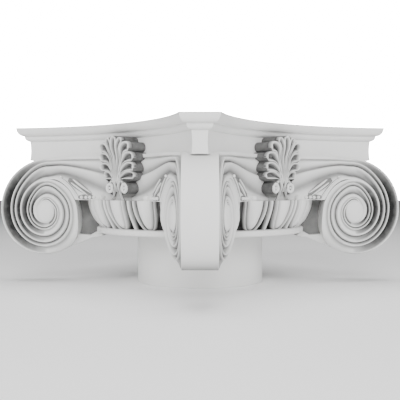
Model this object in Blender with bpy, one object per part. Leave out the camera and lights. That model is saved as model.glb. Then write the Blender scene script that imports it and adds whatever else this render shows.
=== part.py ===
"""Angular Ionic capital with four diagonal volutes, cast as one piece with its short round neck."""

import math

import bmesh
import bpy
from mathutils import Matrix, Vector

# Abacus, all lengths in metres
ABACUS_DIAGONAL = 0.62
CORNER_CUT_WIDTH = 0.055
SIDE_SWEEP = math.radians(69.5)
OVOLO_HEIGHT = 0.0133
OVOLO_DEPTH = 0.010
BEAD_HEIGHT = 0.009
BEAD_DEPTH = 0.008
BEAD_STEP = 0.002
FASCIA_HEIGHT = 0.0319
FASCIA_HOLLOW = 0.0012
SIDE_SEGMENTS = 8

# Neck and ring
NECK_RADIUS = 0.1066
NECK_HEIGHT = 0.0849
RING_RADIUS = 0.1755
RING_HEIGHT = 0.0096
RING_EDGE = 0.003
ROUND_STEPS = 32

# Egg and dart
EGG_COUNT = 20
EGG_HEIGHT = 0.0452
ECHINUS_RADIUS = 0.191
EGG_RELIEF = 0.015
SHELL_DROP = 0.0035
DART_DROP = 0.004
EGG_RING_WALL = 0.035

# Channel band between the volutes
CHANNEL_HEIGHT = 0.0657
CHANNEL_PROUD = 0.0056
FACE_DIP = 0.009
CHANNEL_GROOVE = 0.0035
EDGE_GAP = 0.0016
BAND_LIP = 0.004
CHANNEL_COLUMNS = 7

# Volutes
VOLUTE_OVERHANG = 0.0257
RIM_WIDTH = 0.0495
VOLUTE_TOP_RADIUS = 0.0905
EYE_DROP = 0.0864
WIDTH_SHARE = 0.965
SPIRAL_SHRINK = 0.433
SPIRAL_TIGHTEN = 0.090
SPIRAL_TURNS = 1.5
STEPS_A_TURN = 16
CHANNEL_DEPTH = 0.013
EYE_WIDTH = 0.031
EYE_HEIGHT = 0.038
EYE_RISE = 0.005
CRESCENT_FLOOR = 0.3

# How far one form runs into the next, so that they join as one casting
JOIN = 0.0005
MIDDLE_LAP = 0.003
WELD = 0.00005

# Webs that tie each corner slab to the bell, and their thicker feet
WEB_WIDTH = 0.024
WEB_LAP = 0.004
FOOT_WIDTH = 0.046
FOOT_DROP = 0.008
FOOT_TIP = 0.010

# Leaf ornament in the middle of each side, and the husks beside the volutes
FLEURON_HEIGHT = 0.1015
FLEURON_WIDTH = 0.080
FLEURON_RELIEF = 0.024
FLEURON_LEAN = 0.003
FLEURON_ROOT = 0.010
SIDE_LOBE_DROP = 0.25
HUSK_WIDTH = 0.010
HUSK_RELIEF = 0.008

# Levels and plan worked out from the sizes above
ring_top = NECK_HEIGHT + RING_HEIGHT
egg_line = ring_top + EGG_HEIGHT
abacus_bottom = egg_line + CHANNEL_HEIGHT
fascia_top = abacus_bottom + FASCIA_HEIGHT
ovolo_bottom = fascia_top + BEAD_HEIGHT
abacus_top = ovolo_bottom + OVOLO_HEIGHT
eye_level = abacus_bottom - EYE_DROP

half_diagonal = ABACUS_DIAGONAL / 2
half_chord = (half_diagonal - CORNER_CUT_WIDTH / 2) / math.sqrt(2)
side_radius = half_chord / math.sin(SIDE_SWEEP / 2)
side_centre = (half_diagonal + CORNER_CUT_WIDTH / 2) / math.sqrt(2) + side_radius * math.cos(SIDE_SWEEP / 2)
fascia_inset = OVOLO_DEPTH + BEAD_STEP + BEAD_DEPTH

# The carved faces lie on one arc a side, from rim to rim, which dips a little deeper between the eyes
channel_front = side_centre - side_radius - fascia_inset + CHANNEL_PROUD
arc_front = channel_front + FACE_DIP
reach = half_diagonal + VOLUTE_OVERHANG
rim_x = (reach + RIM_WIDTH / 2) / math.sqrt(2)
rim_y = (reach - RIM_WIDTH / 2) / math.sqrt(2)
face_centre = (rim_x**2 + rim_y**2 - arc_front**2) / (2 * (rim_x - arc_front))
face_radius = face_centre - arc_front
rim_run = face_radius * math.atan2(rim_y, face_centre - rim_x)

# Lines of the carving across one turn of the spiral: share of the pitch, depth in channel depths
TURN_LINES = [(0.0, 0.0), (0.36, 1.0), (0.42, -0.04), (0.58, 0.5), (0.64, 0.0), (0.91, 0.45)]
FIRST_CHANNEL = 1

# Depth of the same lines along the band, in grooves, and of its lower edge
BAND_GROOVES = [0.0, 0.5, 0.0, 1.0, 0.0, 1.1, 0.3]

# Course of the band: share of the pitch, height in the middle of a side and height beside the volute
BAND_LEVELS = [(0.0, 1.084, 1.084), (0.36, 0.982, 0.982), (0.58, 0.57, 0.905), (0.91, 0.094, 0.725),
               (1.0, -0.008, -0.008)]


def spiral_radius(turns):
    return VOLUTE_TOP_RADIUS * math.exp(-(SPIRAL_SHRINK * turns + SPIRAL_TIGHTEN * turns**2))


eye_run = rim_run - WIDTH_SHARE * spiral_radius(0.25)


def face_point(run, level, relief):
    """A point on the +X side: run along the face arc, level, and relief towards the viewer."""
    turn = run / face_radius
    dip = FACE_DIP * max(1 - (run / eye_run)**2, 0)**2
    arm = face_radius + dip - relief
    return Vector((face_centre - arm * math.cos(turn), arm * math.sin(turn), level))


def across_diagonal(point):
    return Vector((point.y, point.x, point.z))


def smooth_step(share):
    share = min(max(share, 0.0), 1.0)
    return share * share * (3 - 2 * share)


def rim_relief(run, turns):
    """The outer rim follows the flat edge of the corner slab, then joins the face arc."""
    turn = run / face_radius
    flat = face_radius - (face_centre - RIM_WIDTH / math.sqrt(2)) / (math.cos(turn) + math.sin(turn))
    return flat * (1 - smooth_step((turns - 0.5) / 0.25))


def make_body(name, bm, smooth=False):
    bmesh.ops.remove_doubles(bm, verts=bm.verts, dist=WELD)
    bmesh.ops.recalc_face_normals(bm, faces=bm.faces)
    mesh = bpy.data.meshes.new(name)
    bm.to_mesh(mesh)
    bm.free()
    if smooth:
        mesh.shade_smooth()
        mesh.set_sharp_from_angle(angle=math.radians(35))
    body = bpy.data.objects.new(name, mesh)
    bpy.context.scene.collection.objects.link(body)
    return body


def loop_body(loops):
    """A closed solid through a stack of closed loops with equal counts, capped at both ends."""
    bm = bmesh.new()
    rows = [[bm.verts.new(point) for point in loop] for loop in loops]
    edges = []
    for row in rows:
        edges.append([bm.edges.new((row[i - 1], row[i])) for i in range(len(row))])
    for lower, upper in zip(edges, edges[1:]):
        bmesh.ops.bridge_loops(bm, edges=lower + upper)
    bm.faces.new(rows[0])
    bm.faces.new(rows[-1])
    return bm


def abacus_loop(inset, level):
    """One level of the abacus: four hollow sides joined by the flat corner cuts."""
    arc = side_radius + inset
    corner = half_diagonal - inset
    end = math.radians(45) + math.asin((math.sqrt(2) * corner - side_centre) / (math.sqrt(2) * arc))
    loop = []
    for side in range(4):
        turn = Matrix.Rotation(side * math.pi / 2, 3, "Z")
        for step in range(SIDE_SEGMENTS + 1):
            angle = end * (2 * step / SIDE_SEGMENTS - 1)
            x = side_centre - arc * math.cos(angle)
            loop.append(turn @ Vector((x, arc * math.sin(angle), level)))
    return loop


def abacus():
    profile = [(fascia_inset, 0.0), (fascia_inset + FASCIA_HOLLOW, FASCIA_HEIGHT / 2)]
    profile += [(fascia_inset, FASCIA_HEIGHT), (fascia_inset - BEAD_DEPTH / 2, FASCIA_HEIGHT + BEAD_HEIGHT * 0.1)]
    profile += [(fascia_inset - BEAD_DEPTH, FASCIA_HEIGHT + BEAD_HEIGHT * 0.5)]
    profile += [(OVOLO_DEPTH + BEAD_STEP, FASCIA_HEIGHT + BEAD_HEIGHT)]
    for angle in (0, 35, 65, 90):
        out = OVOLO_DEPTH * (1 - math.sin(math.radians(angle)))
        up = OVOLO_HEIGHT * (1 - math.cos(math.radians(angle)))
        profile.append((out, FASCIA_HEIGHT + BEAD_HEIGHT + up))
    return loop_body([abacus_loop(inset, abacus_bottom + up) for inset, up in profile])


def bell():
    """Neck, ring and the plain core behind the carving, turned about the axis."""
    core = ECHINUS_RADIUS - EGG_RELIEF - EGG_RING_WALL * 0.7
    behind_band = channel_front - CHANNEL_GROOVE - JOIN * 3
    shoulder = ring_top + EGG_HEIGHT * 0.75
    outline = [(0, 0), (NECK_RADIUS, 0), (NECK_RADIUS, NECK_HEIGHT), (RING_RADIUS - RING_EDGE, NECK_HEIGHT)]
    outline += [(RING_RADIUS, NECK_HEIGHT + RING_EDGE), (RING_RADIUS, ring_top - RING_EDGE)]
    outline += [(RING_RADIUS - RING_EDGE, ring_top), (core, ring_top)]
    outline += [(core, shoulder), (behind_band, shoulder)]
    outline += [(behind_band, abacus_bottom + FASCIA_HEIGHT / 3), (0, abacus_bottom + FASCIA_HEIGHT / 3)]
    bm = bmesh.new()
    verts = [bm.verts.new((radius, 0, level)) for radius, level in outline]
    edges = [bm.edges.new(pair) for pair in zip(verts, verts[1:])]
    bmesh.ops.spin(bm, geom=verts + edges, axis=(0, 0, 1), cent=(0, 0, 0), steps=ROUND_STEPS,
                   angle=math.tau, use_merge=True)
    return bm


def egg_half_width(rise):
    """Half width of an egg at a share of its height, in half cells."""
    return 0.10 + 0.50 * math.sqrt(max(1 - (1 - rise)**2.4, 0.0))


def egg_ring():
    """Eggs in their shells with darts between them, as one ring of varying radius."""
    cell = math.tau / EGG_COUNT
    foot = RING_RADIUS - RING_EDGE / 2
    loops = []
    for rise in (0.0, 0.15, 0.50, 1.0):
        level = ring_top - JOIN + (EGG_HEIGHT + JOIN) * rise
        outer = foot + (ECHINUS_RADIUS - foot) * math.sin(rise * math.pi / 2)
        egg = egg_half_width(rise)
        shell = egg + 0.17
        depth = EGG_RELIEF * (0.25 + 0.75 * math.sin(math.pi * min(rise * 0.75 + 0.25, 1)))
        half = [(0.0, 0.0), (0.62 * egg, 0.18 * depth), (egg, 0.8 * depth), (shell, SHELL_DROP)]
        half += [(shell + 0.09, 0.8 * depth)]
        row = [(-place, drop) for place, drop in reversed(half[1:])] + half + [(1.0, DART_DROP)]
        loop = []
        for index in range(EGG_COUNT):
            for place, drop in row:
                angle = cell * (index + place / 2)
                radius = outer - drop
                loop.append(Vector((radius * math.cos(angle), radius * math.sin(angle), level)))
        loops.append(loop)
    inner = foot - EGG_RING_WALL
    for level in (egg_line, ring_top - JOIN):
        loop = [Vector((p.x, p.y, 0)).normalized() * inner + Vector((0, 0, level)) for p in loops[0]]
        loops.append(loop)
    bm = bmesh.new()
    rows = [[bm.verts.new(point) for point in loop] for loop in loops]
    for lower, upper in zip(rows, rows[1:] + rows[:1]):
        for i in range(len(lower)):
            bm.faces.new((lower[i - 1], lower[i], upper[i], upper[i - 1]))
    return bm


def turn_share(share, turns):
    """The carved lines lie further in at the outer side of a turn, and further out at its top."""
    angle = math.tau * turns
    from_top = (turns + 0.5) % 1 - 0.5
    shift = 0.08 * max(math.sin(angle), 0.0) - 0.11 * math.exp(-(from_top / 0.07)**2)
    return share + 4 * share * (1 - share) * shift * smooth_step((share - 0.08) / 0.2)


def turn_relief(run, turns, line):
    """Relief of a line of the carving. The first channel is deep at the outer side only."""
    share, depth = TURN_LINES[line]
    if line == FIRST_CHANNEL:
        depth *= CRESCENT_FLOOR + (1 - CRESCENT_FLOOR) * max(math.sin(math.tau * turns), 0.0)
    rim = rim_relief(run, turns) * (1 - share)**3 if turns < 0.75 else 0.0
    relief = rim - depth * CHANNEL_DEPTH * (spiral_radius(turns) / VOLUTE_TOP_RADIUS)**0.8
    return max(relief, rim_relief(run, 0.0) - CHANNEL_DEPTH)


def turn_point(step, line):
    """A point of the volute's face: a line of the carving at a step of the spiral."""
    turns = step / STEPS_A_TURN
    outer = spiral_radius(turns)
    inner = spiral_radius(turns + 1)
    radius = outer + (inner - outer) * turn_share(TURN_LINES[line][0], turns)
    run = eye_run + WIDTH_SHARE * radius * math.sin(math.tau * turns)
    level = eye_level + radius * math.cos(math.tau * turns)
    return face_point(run, level, turn_relief(run, turns, line))


def lower_edge(part):
    """Level just above the inner side of the volute, which the band's lower edge follows."""
    turns = 0.9
    for _ in range(4):
        across = eye_run * (1 - part) / (WIDTH_SHARE * spiral_radius(turns))
        turns = 1 - math.asin(min(across, 1.0)) / math.tau
    return eye_level + spiral_radius(turns) * math.cos(math.tau * turns) + EDGE_GAP * smooth_step((1 - part) / 0.08)


def band_level(share, part):
    """Level of a line of the band, part of the way from the middle of a side to the eye."""
    levels = []
    for place, middle, beside in BAND_LEVELS:
        rise = smooth_step(part / 0.9)
        levels.append((place, egg_line + CHANNEL_HEIGHT * (middle + (beside - middle) * rise)))
    edge = max(lower_edge(part), levels[-1][1])
    levels[-1] = (1.0, edge)
    levels[-2] = (levels[-2][0], max(levels[-2][1], edge + BAND_LIP))
    for (before, high), (after, low) in zip(levels, levels[1:]):
        if share <= after:
            level = high + (low - high) * (share - before) / (after - before)
            break
    seam = eye_level + spiral_radius(0) + (spiral_radius(1) - spiral_radius(0)) * turn_share(share, 0)
    return level + (seam - level) * smooth_step((part - 0.8) / 0.2)


def band_point(column, line):
    """A point of the band that carries the volute's lines on to the middle of the side."""
    run = eye_run - (eye_run + MIDDLE_LAP) * column / CHANNEL_COLUMNS
    part = max(run / eye_run, 0.0)
    share, seam = 1.0, turn_relief(eye_run, 1, 0)
    if line < len(TURN_LINES):
        share, seam = TURN_LINES[line][0], turn_relief(eye_run, 0, line)
    joined = smooth_step((part - 0.6) / 0.4)
    relief = -CHANNEL_GROOVE * BAND_GROOVES[line] * (1 - joined) + seam * joined
    return face_point(run, band_level(share, part), relief + min(run, 0.0))


def volute_sheet(bm):
    """The carved face of one volute and half a band. Gives the loop of vertices round its outer edge."""
    last = round(SPIRAL_TURNS * STEPS_A_TURN)
    count = len(TURN_LINES)
    grid = [[bm.verts.new(turn_point(step, line)) for line in range(count)] for step in range(last + 1)]
    rim = []
    for step in range(STEPS_A_TURN):
        angle = math.tau * (last + step) / STEPS_A_TURN
        run = eye_run + EYE_WIDTH / 2 * math.sin(angle)
        level = eye_level + EYE_HEIGHT / 2 * math.cos(angle)
        rim.append(bm.verts.new(face_point(run, level, -JOIN)))
    for step in range(last):
        here, there = grid[step], grid[step + 1]
        for line in range(count - 1):
            bm.faces.new((here[line], there[line], there[line + 1], here[line + 1]))
        if step + 1 + STEPS_A_TURN <= last:
            inner = (grid[step + STEPS_A_TURN][0], grid[step + 1 + STEPS_A_TURN][0])
            bm.faces.new((here[-1], there[-1], inner[1], inner[0]))
        else:
            index = step + STEPS_A_TURN - last
            following = rim[(index + 1) % STEPS_A_TURN]
            if index == 0:
                bm.faces.new([here[-1], there[-1], following, rim[0]] + grid[last][:0:-1] + [grid[last][0]])
            else:
                bm.faces.new((here[-1], there[-1], following, rim[index]))
    seam = grid[0] + [grid[STEPS_A_TURN][0]]
    band = [seam]
    for column in range(1, CHANNEL_COLUMNS + 1):
        band.append([bm.verts.new(band_point(column, line)) for line in range(count + 1)])
        for line in range(count):
            before, after = band[-2], band[-1]
            bm.faces.new((before[line], before[line + 1], after[line + 1], after[line]))
    middle = bm.verts.new(face_point(eye_run, eye_level, EYE_RISE))
    dome = []
    for step in range(STEPS_A_TURN):
        angle = math.tau * (last + step) / STEPS_A_TURN
        run = eye_run + EYE_WIDTH * 0.36 * math.sin(angle)
        level = eye_level + EYE_HEIGHT * 0.36 * math.cos(angle)
        dome.append(bm.verts.new(face_point(run, level, EYE_RISE * 0.62)))
    for step in range(STEPS_A_TURN):
        bm.faces.new((rim[step - 1], rim[step], dome[step], dome[step - 1]))
        bm.faces.new((dome[step - 1], dome[step], middle))
    outline = [row[0] for row in grid[:STEPS_A_TURN + 1]]
    outline += [row[-1] for row in band[1:]] + band[-1][-2::-1] + [row[0] for row in band[-2:0:-1]]
    return outline


def corner():
    """A corner slab with its two carved faces and half bands, joined by the plain rim."""
    bm = bmesh.new()
    outline = volute_sheet(bm)
    faces = list(bm.faces)
    copy = bmesh.ops.duplicate(bm, geom=list(bm.verts) + list(bm.edges) + faces)
    twins = copy["vert_map"]
    for element in copy["geom"]:
        if isinstance(element, bmesh.types.BMVert):
            element.co = across_diagonal(element.co)
    for i in range(len(outline)):
        first, second = outline[i - 1], outline[i]
        bm.faces.new((first, second, twins[second], twins[first]))
    return bm


def slab(outline, width):
    """A plate on the diagonal through points given as distance from the axis and level."""
    loops = []
    for side in (-1, 1):
        offset = Vector((1, -1, 0)) * side * width / 2 / math.sqrt(2)
        loops.append([Vector((out / math.sqrt(2), out / math.sqrt(2), up)) + offset for out, up in outline])
    return loop_body(loops)


def eye_distance():
    return (face_point(eye_run, eye_level, 0).xy @ Vector((1, 1))) / math.sqrt(2)


def web():
    """The recessed plate between the volute and the bell."""
    out = eye_distance()
    outline = [(NECK_RADIUS / 2, NECK_HEIGHT - WEB_LAP / 2), (RING_RADIUS, NECK_HEIGHT - WEB_LAP)]
    outline += [(out, eye_level - spiral_radius(0.5) * 0.8), (out, abacus_bottom + WEB_LAP)]
    outline += [(NECK_RADIUS / 2, abacus_bottom + WEB_LAP)]
    return slab(outline, WEB_WIDTH)


def foot():
    """The thicker lower edge of the web, from the underside of the volute to the ring."""
    out = eye_distance()
    bottom = eye_level - spiral_radius(0.5)
    outline = [(RING_RADIUS - FOOT_DROP * 1.5, NECK_HEIGHT - FOOT_DROP)]
    outline += [(RING_RADIUS + FOOT_DROP / 2, NECK_HEIGHT - FOOT_DROP * 1.2)]
    outline += [(out - FOOT_TIP * 1.6, bottom + FOOT_TIP * 0.3), (out + FOOT_TIP, bottom + FOOT_TIP)]
    outline += [(out, eye_level - FOOT_TIP * 2), (out - FOOT_TIP * 5, eye_level - FOOT_TIP * 3)]
    outline += [(out - FOOT_TIP * 5.4, NECK_HEIGHT - FOOT_DROP / 2)]
    outline += [(RING_RADIUS + FOOT_TIP, NECK_HEIGHT - FOOT_DROP * 0.7)]
    outline += [(RING_RADIUS - FOOT_DROP * 0.75, NECK_HEIGHT + FOOT_DROP * 0.4)]
    return slab(outline, FOOT_WIDTH)


def pod(path, widths, sides=4):
    """A husk: an oval swept along points of run, level and relief, closed at both ends."""
    loops = []
    points = [Vector(point) for point in path]
    for i, point in enumerate(points):
        ahead = points[min(i + 1, len(points) - 1)] - points[max(i - 1, 0)]
        ahead.normalize()
        across = ahead.cross(Vector((0, 0, 1))).normalized()
        up = across.cross(ahead)
        width, thick = widths[i]
        loop = []
        for k in range(sides):
            angle = math.tau * (k + 0.5) / sides
            loop.append(point + across * width * math.cos(angle) + up * thick * math.sin(angle))
        loops.append([face_point(*p) for p in loop])
    return loop_body(loops)


def fleuron_side():
    """The right half of the leaf's outline, base to tip: half width, level and ridge share."""
    wide = FLEURON_WIDTH / 2
    high = FLEURON_HEIGHT
    points = [(0.40 * wide, 0.0, 0.2), (0.17 * wide, 0.10 * high, 0.2)]
    points += [(0.36 * wide, 0.15 * high, 0.6), (0.58 * wide, 0.20 * high, 1.0), (0.44 * wide, 0.255 * high, 0.6)]
    points += [(0.22 * wide, 0.295 * high, 0.0)]
    for index, (tip, level) in enumerate(((0.90, 0.367), (1.02, 0.497), (1.04, 0.648), (0.93, 0.785))):
        half = 0.050 * high if index else 0.034 * high
        points += [((tip - 0.06) * wide, level * high - half, 0.8), (tip * wide, level * high + half * 0.6, 1.0)]
        points += [((tip - 0.22) * wide, level * high + half * 1.35, 0.0)]
    points += [(0.46 * wide, 0.90 * high, 0.8), (0.28 * wide, 0.965 * high, 0.5)]
    return points


def fleuron():
    """A palmette on a bell-shaped stem, its side lobes curled and its top leaning over the abacus."""
    half = fleuron_side()
    tip = (0.0, FLEURON_HEIGHT, 1.0)
    ring = half + [tip] + [(-x, level, ridge) for x, level, ridge in reversed(half)]
    base = egg_line - JOIN
    fan = FLEURON_HEIGHT * 0.29
    loops = []
    for inward, low, rise in ((1.0, None, 0.0), (1.0, 0.78, 0.12), (0.62, 0.70, 0.30), (0.20, 0.90, 0.10)):
        loop = []
        for x, level, ridge in ring:
            lean = smooth_step((level / FLEURON_HEIGHT - 0.72) / 0.28)
            up = level / FLEURON_HEIGHT
            side = abs(x) * 2 / FLEURON_WIDTH * smooth_step((up - 0.29) / 0.05) * smooth_step((0.6 - up) / 0.2)
            relief = -FLEURON_ROOT
            if low is not None:
                relief = FLEURON_RELIEF * (low + rise * ridge - SIDE_LOBE_DROP * side**2) + FLEURON_LEAN * lean
            inner = fan + (level - fan) * inward if level > fan else level
            loop.append(face_point(x * inward, base + inner, relief))
        loops.append(loop)
    bm = bmesh.new()
    rows = [[bm.verts.new(point) for point in loop] for loop in loops]
    count = len(ring)
    for lower, upper in zip(rows, rows[1:]):
        for i in range(count):
            bm.faces.new((lower[i - 1], lower[i], upper[i], upper[i - 1]))
    for cap in (rows[0], rows[-1]):
        for i in range(count // 2 - 1):
            bm.faces.new((cap[i], cap[i + 1], cap[count - 2 - i], cap[count - 1 - i]))
        bm.faces.new((cap[count // 2 - 1], cap[count // 2], cap[count // 2 + 1]))
    bmesh.ops.triangulate(bm, faces=bm.faces)
    return bm


def husks():
    """A stalk and a pod along the lower edge of the band, beside each volute."""
    stalk = [(0.80, 0.53), (0.70, 0.38), (0.60, 0.07)]
    seed = [(0.69, 0.47), (0.57, 0.30), (0.46, 0.07)]
    parts = []
    for line, half in ((stalk, 0.35 * HUSK_WIDTH), (seed, 0.6 * HUSK_WIDTH)):
        path = [(eye_run * place, egg_line + CHANNEL_HEIGHT * rise, 0.0) for place, rise in line]
        widths = [(half * share, HUSK_RELIEF * thick) for share, thick in ((0.6, 0.7), (1.0, 1.2), (0.7, 0.9))]
        parts.append(pod(path, widths))
    return parts


def around(bm, side, mirror=False):
    """A copy of a form for another side, turned about the axis and mirrored if asked."""
    copy = bm.copy()
    if mirror:
        bmesh.ops.scale(copy, vec=(1, -1, 1), verts=copy.verts)
    bmesh.ops.rotate(copy, cent=(0, 0, 0), matrix=Matrix.Rotation(side * math.pi / 2, 3, "Z"), verts=copy.verts)
    return copy


def plaster():
    material = bpy.data.materials.new("white_cast")
    material.use_nodes = True
    shader = material.node_tree.nodes["Principled BSDF"]
    shader.inputs["Base Color"].default_value = (0.80, 0.80, 0.79, 1)
    shader.inputs["Roughness"].default_value = 0.62
    return material


def main():
    for old in list(bpy.data.objects):
        bpy.data.objects.remove(old, do_unlink=True)

    carving = bpy.data.collections.new("carving")
    bpy.context.scene.collection.children.link(carving)
    forms = {"abacus": [abacus()], "egg_ring": [egg_ring()]}
    quarter = {"corner": corner(), "web": web(), "foot": foot(), "fleuron": fleuron()}
    for name, form in quarter.items():
        forms[name] = [around(form, side) for side in range(4)]
    for number, form in enumerate(husks()):
        forms[f"husk_{number}"] = [around(form, side, flip) for side in range(4) for flip in (False, True)]
    for name, copies in forms.items():
        for number, form in enumerate(copies):
            body = make_body(f"{name}_{number}", form)
            bpy.context.scene.collection.objects.unlink(body)
            carving.objects.link(body)
            body.hide_render = True
            body.display_type = "WIRE"

    capital = make_body("capital", bell(), smooth=True)
    capital.data.materials.append(plaster())
    union = capital.modifiers.new("carving", "BOOLEAN")
    union.operation = "UNION"
    union.operand_type = "COLLECTION"
    union.collection = carving
    union.solver = "EXACT"


main()
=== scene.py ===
"""White angular Ionic capital: its carved pieces, finish, floor, lights and camera."""

import math

import bmesh
import bpy
from bpy.props import FloatProperty, FloatVectorProperty, IntProperty, PointerProperty
from mathutils import Matrix, Vector


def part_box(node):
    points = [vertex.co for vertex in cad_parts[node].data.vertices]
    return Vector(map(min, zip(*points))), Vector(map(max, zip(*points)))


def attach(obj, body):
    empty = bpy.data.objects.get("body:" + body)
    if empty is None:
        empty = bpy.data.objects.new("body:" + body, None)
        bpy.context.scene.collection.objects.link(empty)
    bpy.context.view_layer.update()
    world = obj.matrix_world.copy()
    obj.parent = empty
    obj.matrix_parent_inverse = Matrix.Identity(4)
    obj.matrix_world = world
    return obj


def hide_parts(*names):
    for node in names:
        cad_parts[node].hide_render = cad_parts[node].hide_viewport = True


bl_info = {
    "name": "Ionic capital",
    "version": (1, 0, 0),
    "blender": (4, 5, 0),
    "location": "3D View > Sidebar > Capital",
    "description": "Builds the carved pieces, finish and stage of an angular Ionic capital",
    "category": "Object",
}

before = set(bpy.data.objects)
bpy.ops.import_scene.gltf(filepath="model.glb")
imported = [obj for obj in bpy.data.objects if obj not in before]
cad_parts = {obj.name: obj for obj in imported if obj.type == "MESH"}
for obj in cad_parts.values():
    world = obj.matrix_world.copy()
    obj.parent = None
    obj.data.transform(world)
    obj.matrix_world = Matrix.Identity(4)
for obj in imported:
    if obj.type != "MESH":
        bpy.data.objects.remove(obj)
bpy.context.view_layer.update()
capital_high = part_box("capital")[1]

# Across one turn of the volute: share of the pitch, and the depth there in channel depths
TURN_PROFILE = [(0.0, 0.0), (0.03, 0.0), (0.06, 0.04), (0.11, 0.24), (0.19, 0.60), (0.27, 0.88), (0.33, 0.98),
                (0.36, 1.0), (0.375, 0.88), (0.385, 0.35), (0.40, 0.04), (0.42, -0.05), (0.44, -0.01),
                (0.47, 0.09), (0.51, 0.25), (0.55, 0.43), (0.58, 0.50), (0.592, 0.44), (0.605, 0.18),
                (0.62, 0.04), (0.64, 0.0), (0.665, 0.03), (0.70, 0.09), (0.76, 0.20), (0.82, 0.31),
                (0.87, 0.41), (0.91, 0.46), (0.925, 0.40), (0.945, 0.17), (0.97, 0.03), (1.0, 0.0)]
# Share of the pitch at the ridge after the first channel
FIRST_RIDGE = 0.42
# Depth of the second and third channels in the profile, against the first
LATER_DEPTH = 0.46
# Shrink of the spiral a turn, and its growth from turn to turn
SPIRAL_SHRINK = 0.433
SPIRAL_TIGHTEN = 0.09
# Width of a volute against its height
WIDTH_SHARE = 0.965
# Smallest height of the lip along the lower edge of the band
BAND_LIP = 0.004
# Lap of the two halves of a band, and the depth of its grooves
BAND_LAP = 0.003
BAND_GROOVE = 0.0035

# The same lines along a side: share of the pitch, height in the middle and beside the volute
BAND_LINES = [(0.0, 1.084, 1.084), (0.36, 0.982, 0.982), (0.58, 0.57, 0.87), (0.91, 0.094, 0.67),
              (1.0, -0.008, -0.008)]

# Lobes of the leaf up one side, in shares of its half width and height: tip, level and radius of the end
LEAF_LOBES = [(0.94, 0.375, 0.064), (1.06, 0.505, 0.070), (1.06, 0.655, 0.074), (0.94, 0.805, 0.078)]

# Depth of the flutes of the leaf
FLUTE = 0.0065

# Husks at the volute, in shares of the way to the eye and of the band's height: three points and half width
HUSK_PATHS = [((0.81, 0.53), (0.70, 0.36), (0.61, 0.05), 0.0014),
              ((0.695, 0.42), (0.60, 0.27), (0.49, 0.09), 0.0019),
              ((0.672, 0.50), (0.585, 0.35), (0.455, 0.15), 0.0019)]
# Beds: low flat pods under the husks, painted dark as the shadow between them
HUSK_BEDS = [((0.73, 0.50), (0.60, 0.31), (0.45, 0.09), 0.0062),
             ((0.62, 0.06), (0.52, 0.07), (0.41, 0.06), 0.0044)]
# How flat a bed is, and how much painted shade it carries
BED_FLAT = 0.14
BED_SHADE_PAINT = 0.8
# Balls at the husks, in the same shares, and their radii
HUSK_BALLS = [((0.575, 0.06), 0.0028), ((0.523, 0.055), 0.0028), ((0.479, 0.06), 0.0028),
              ((0.43, 0.06), 0.0028), ((0.815, 0.56), 0.0022), ((0.326, 0.04), 0.0055)]

# Area lights: name, angle from the camera, distance, height, size of the panel and the setting of its power
LIGHTS = [("left", -50, 2.0, 0.75, (0.9, 1.2), "side_power"),
          ("right", 50, 2.0, 0.75, (0.9, 1.2), "side_power"),
          ("front", 0, 2.2, 1.1, (1.6, 0.9), "front_power"),
          ("top", 0, 0.0, 2.4, (2.0, 2.0), "top_power")]

# Distance below which the vertices of a piece are merged
WELD = 0.00002


def length(name, default, description):
    """A setting in metres."""
    return FloatProperty(name=name, default=default, description=description, unit="LENGTH", min=0.0)


def colour(name, default, description):
    """A colour setting."""
    return FloatVectorProperty(name=name, default=default, description=description, subtype="COLOR", size=4,
                               min=0, max=1)


def power(name, default, description):
    """The power of a light."""
    return FloatProperty(name=name, default=default, description=description, unit="POWER", min=0)


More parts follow.
